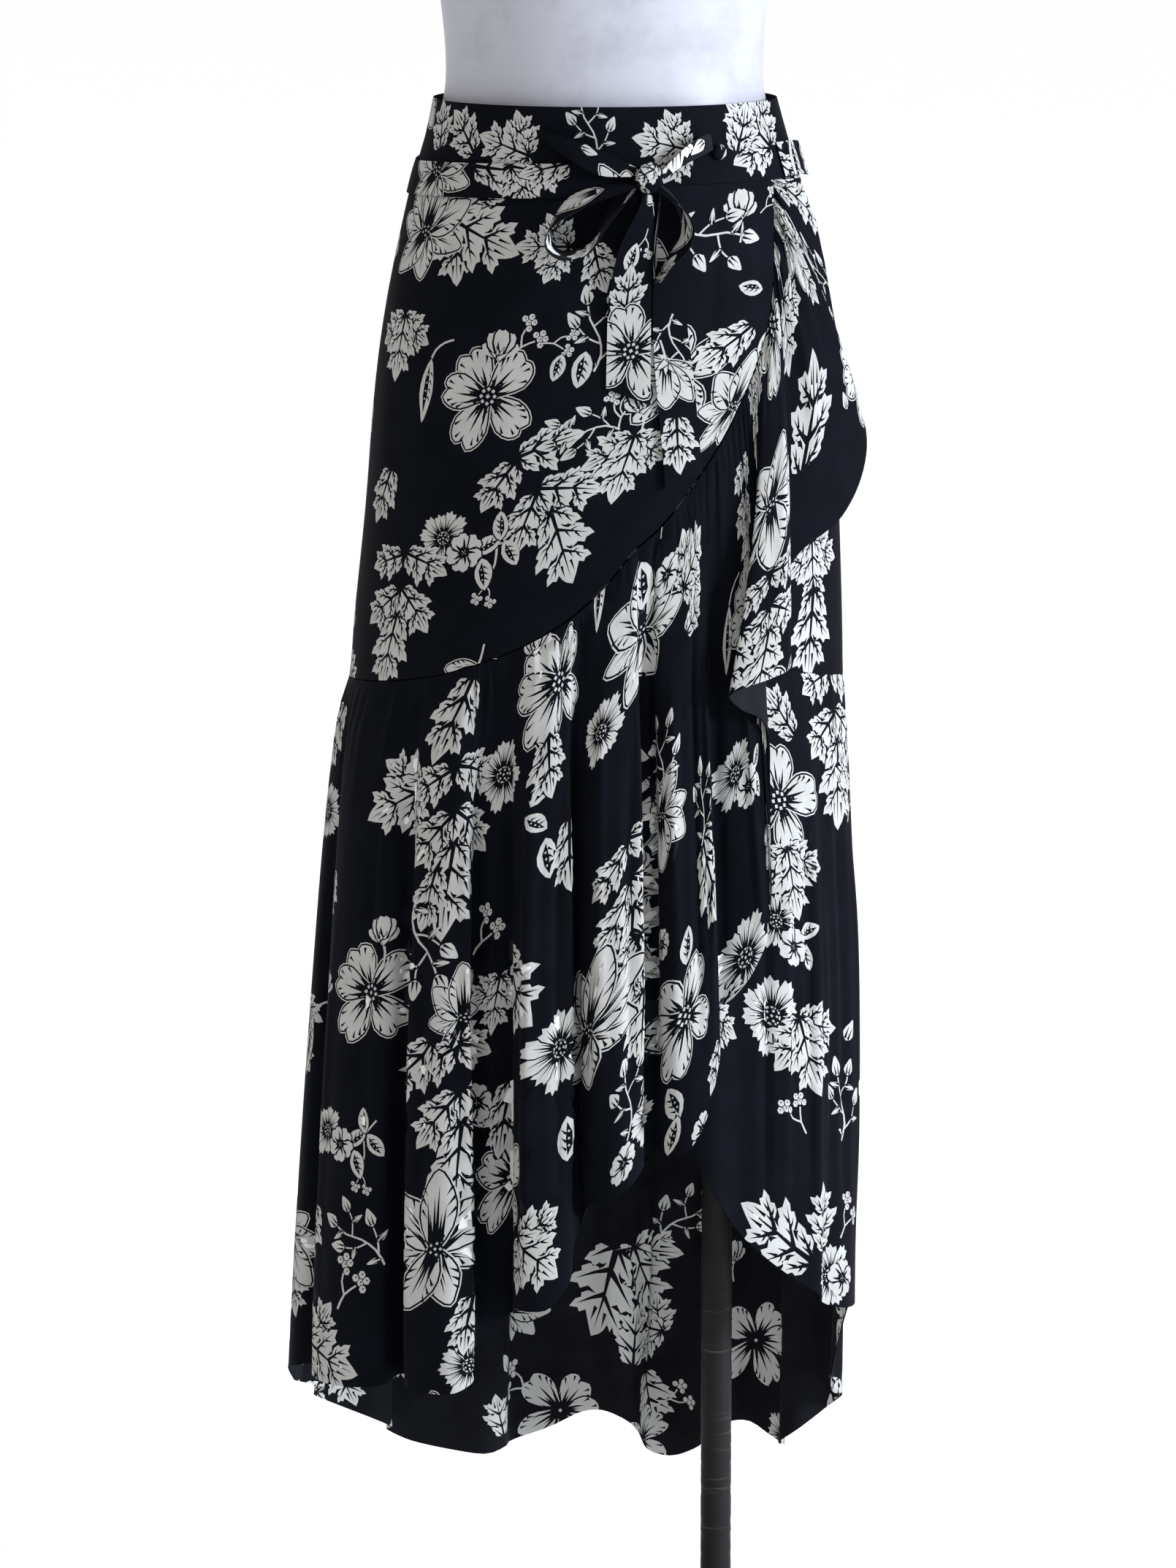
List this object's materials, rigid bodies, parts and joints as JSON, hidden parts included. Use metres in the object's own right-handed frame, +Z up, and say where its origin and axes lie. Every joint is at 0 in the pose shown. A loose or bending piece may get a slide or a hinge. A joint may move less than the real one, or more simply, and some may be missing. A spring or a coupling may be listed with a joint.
{
  "type": "wrap skirt on a limbless dress form",
  "caption": "Long high-low wrap skirt of printed crepe with gathered flounces, a cascade ruffle and a tie belt, worn by a plain torso form on a round base.",
  "frame": {"origin": "centre of the round base's underside, on the floor, under the torso's middle", "axes": "+Z up; the skirt's front faces -Y; +X is to the right of a person who faces the front"},
  "size_m": [0.4435, 0.3773, 1.712],
  "materials": {
    "crepe_print": "matt crepe, black with an off-white flower and leaf print",
    "form_white": "smooth satin white",
    "pole_black": "worn black lacquer with thin pale rings",
    "base_black": "plain black"
  },
  "bodies": {
    "root": {"yoke_front": "crepe_print", "yoke_back": "crepe_print", "panel_front": "crepe_print", "panel_under": "crepe_print", "panel_back": "crepe_print", "flounce_front": "crepe_print", "flounce_under": "crepe_print", "flounce_back": "crepe_print", "belt": "crepe_print", "bow_knot": "crepe_print", "bow_loop_left_top": "crepe_print", "bow_loop_left_low": "crepe_print", "bow_loop_right_top": "crepe_print", "bow_loop_right_low": "crepe_print", "bow_tail_front": "crepe_print", "bow_tail_back": "crepe_print", "covered_button": "crepe_print", "form": "form_white", "neck_cap": "base_black", "pole": "pole_black", "base": "base_black"}
  },
  "joints": []
}
